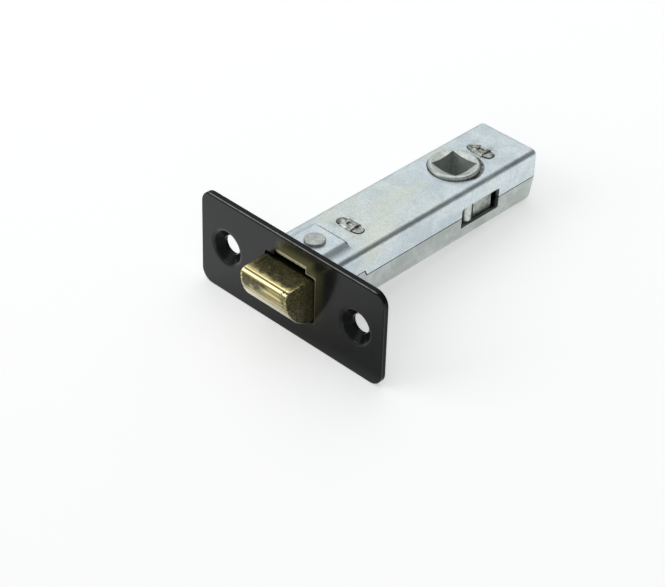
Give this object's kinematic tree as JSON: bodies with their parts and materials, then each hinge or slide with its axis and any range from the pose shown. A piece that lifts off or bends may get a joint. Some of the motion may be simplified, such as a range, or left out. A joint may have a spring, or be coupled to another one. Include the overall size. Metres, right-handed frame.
{
  "type": "tubular door latch",
  "caption": "Tubular latch for a door edge: oblong forend with pressed screw dimples, sprung latch bolt with a curved ramp, pressed sheet case and lobed follower with a square socket.",
  "frame": {"origin": "Middle of the forend's front face, halfway between the screw holes.", "axes": "+X along the forend, +Y from the forend into the door along the case, +Z along the follower's axis, on the side of the raised pad."},
  "size_m": [0.06, 0.0871, 0.0264],
  "materials": {
    "black_plate": "satin",
    "zinc_plated_sheet": "satin",
    "rivet_steel": "satin",
    "plate_steel": "satin",
    "bolt_brass": "worn",
    "rod_steel": "satin",
    "spring_steel": "satin",
    "cast_hub": "satin",
    "fork_steel": "satin"
  },
  "bodies": {
    "case": {"forend": "black_plate", "upper_case": "zinc_plated_sheet", "lower_case": "zinc_plated_sheet", "front_rivet": "rivet_steel", "guide_plate": "plate_steel", "rear_spacer": "plate_steel", "bolt_spring": "spring_steel", "return_spring_left": "spring_steel", "return_spring_right": "spring_steel"},
    "bolt": {"latch_bolt": "bolt_brass", "bolt_rod": "rod_steel", "rod_washer": "rod_steel", "rod_clip": "spring_steel"},
    "fork": {"retractor": "fork_steel"},
    "hub": {"follower": "cast_hub"}
  },
  "joints": [
    {"name": "bolt_slide", "type": "slide", "parent": "case", "child": "bolt", "axis": [0, 1, 0], "range_m": [0, 0.0084], "stiffness_N_per_m": 750, "springref_m": -0.0068, "deforming": ["bolt_spring"]},
    {"name": "retractor_slide", "type": "slide", "parent": "case", "child": "fork", "axis": [0, 1, 0], "range_m": [0, 0.0084], "deforming": ["return_spring_left", "return_spring_right"]},
    {"name": "follower_turn", "type": "hinge", "parent": "case", "child": "hub", "pos_m": [0, 0.057, 0], "axis": [0, 0, 1], "range_deg": [0, 65]}
  ],
  "couplings": [
    {"joint": "retractor_slide", "follows": "bolt_slide", "ratio": 1},
    {"joint": "follower_turn", "follows": "bolt_slide", "rad_per_m": 135}
  ]
}
